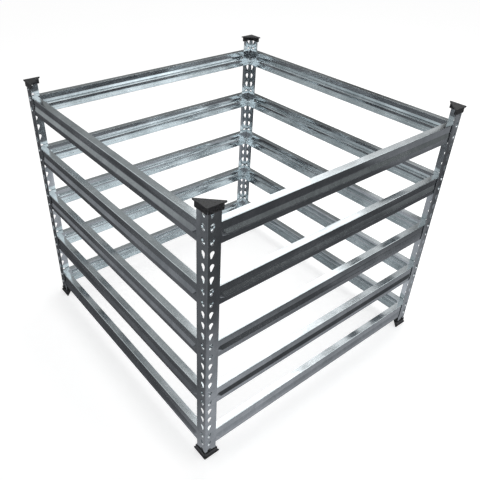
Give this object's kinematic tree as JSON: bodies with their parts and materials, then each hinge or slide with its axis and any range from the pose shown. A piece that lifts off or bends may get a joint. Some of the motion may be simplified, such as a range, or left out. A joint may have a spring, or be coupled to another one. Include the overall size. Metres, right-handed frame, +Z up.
{
  "type": "compost bin",
  "caption": "Square open compost bin: slotted angle posts at the corners, beaded channel beams hooked between them in spaced tiers, and triangular plastic caps and feet.",
  "frame": {"origin": "on the ground under the middle of the bin", "axes": "+Z up; X and Y along the beams, with the front at -Y; the picture looks in over the front left post"},
  "size_m": [1.01, 1.01, 0.9086],
  "materials": {
    "zinc": "bright zinc coating with a fine spangle",
    "plastic": "black, finely textured moulding"
  },
  "bodies": {
    "frame": {"post_front_left": "zinc", "post_front_right": "zinc", "post_back_right": "zinc", "post_back_left": "zinc", "cap_front_left": "plastic", "cap_front_right": "plastic", "cap_back_right": "plastic", "cap_back_left": "plastic", "foot_front_left": "plastic", "foot_front_right": "plastic", "foot_back_right": "plastic", "foot_back_left": "plastic"},
    "beam_front_1": {"beam_front_1": "zinc"},
    "beam_right_1": {"beam_right_1": "zinc"},
    "beam_back_1": {"beam_back_1": "zinc"},
    "beam_left_1": {"beam_left_1": "zinc"},
    "beam_front_2": {"beam_front_2": "zinc"},
    "beam_right_2": {"beam_right_2": "zinc"},
    "beam_back_2": {"beam_back_2": "zinc"},
    "beam_left_2": {"beam_left_2": "zinc"},
    "beam_front_3": {"beam_front_3": "zinc"},
    "beam_right_3": {"beam_right_3": "zinc"},
    "beam_back_3": {"beam_back_3": "zinc"},
    "beam_left_3": {"beam_left_3": "zinc"},
    "beam_front_4": {"beam_front_4": "zinc"},
    "beam_right_4": {"beam_right_4": "zinc"},
    "beam_back_4": {"beam_back_4": "zinc"},
    "beam_left_4": {"beam_left_4": "zinc"},
    "beam_front_5": {"beam_front_5": "zinc"},
    "beam_right_5": {"beam_right_5": "zinc"},
    "beam_back_5": {"beam_back_5": "zinc"},
    "beam_left_5": {"beam_left_5": "zinc"}
  },
  "joints": [
    {"name": "unhook_beam_front_1", "type": "slide", "parent": "frame", "child": "beam_front_1", "axis": [0, 0, 1], "range_m": [0, 0.0098]},
    {"name": "unhook_beam_right_1", "type": "slide", "parent": "frame", "child": "beam_right_1", "axis": [0, 0, 1], "range_m": [0, 0.0098]},
    {"name": "unhook_beam_back_1", "type": "slide", "parent": "frame", "child": "beam_back_1", "axis": [0, 0, 1], "range_m": [0, 0.0098]},
    {"name": "unhook_beam_left_1", "type": "slide", "parent": "frame", "child": "beam_left_1", "axis": [0, 0, 1], "range_m": [0, 0.0098]},
    {"name": "unhook_beam_front_2", "type": "slide", "parent": "frame", "child": "beam_front_2", "axis": [0, 0, 1], "range_m": [0, 0.0098]},
    {"name": "unhook_beam_right_2", "type": "slide", "parent": "frame", "child": "beam_right_2", "axis": [0, 0, 1], "range_m": [0, 0.0098]},
    {"name": "unhook_beam_back_2", "type": "slide", "parent": "frame", "child": "beam_back_2", "axis": [0, 0, 1], "range_m": [0, 0.0098]},
    {"name": "unhook_beam_left_2", "type": "slide", "parent": "frame", "child": "beam_left_2", "axis": [0, 0, 1], "range_m": [0, 0.0098]},
    {"name": "unhook_beam_front_3", "type": "slide", "parent": "frame", "child": "beam_front_3", "axis": [0, 0, 1], "range_m": [0, 0.0098]},
    {"name": "unhook_beam_right_3", "type": "slide", "parent": "frame", "child": "beam_right_3", "axis": [0, 0, 1], "range_m": [0, 0.0098]},
    {"name": "unhook_beam_back_3", "type": "slide", "parent": "frame", "child": "beam_back_3", "axis": [0, 0, 1], "range_m": [0, 0.0098]},
    {"name": "unhook_beam_left_3", "type": "slide", "parent": "frame", "child": "beam_left_3", "axis": [0, 0, 1], "range_m": [0, 0.0098]},
    {"name": "unhook_beam_front_4", "type": "slide", "parent": "frame", "child": "beam_front_4", "axis": [0, 0, 1], "range_m": [0, 0.0098]},
    {"name": "unhook_beam_right_4", "type": "slide", "parent": "frame", "child": "beam_right_4", "axis": [0, 0, 1], "range_m": [0, 0.0098]},
    {"name": "unhook_beam_back_4", "type": "slide", "parent": "frame", "child": "beam_back_4", "axis": [0, 0, 1], "range_m": [0, 0.0098]},
    {"name": "unhook_beam_left_4", "type": "slide", "parent": "frame", "child": "beam_left_4", "axis": [0, 0, 1], "range_m": [0, 0.0098]},
    {"name": "unhook_beam_front_5", "type": "slide", "parent": "frame", "child": "beam_front_5", "axis": [0, 0, 1], "range_m": [0, 0.0098]},
    {"name": "unhook_beam_right_5", "type": "slide", "parent": "frame", "child": "beam_right_5", "axis": [0, 0, 1], "range_m": [0, 0.0098]},
    {"name": "unhook_beam_back_5", "type": "slide", "parent": "frame", "child": "beam_back_5", "axis": [0, 0, 1], "range_m": [0, 0.0098]},
    {"name": "unhook_beam_left_5", "type": "slide", "parent": "frame", "child": "beam_left_5", "axis": [0, 0, 1], "range_m": [0, 0.0098]}
  ]
}
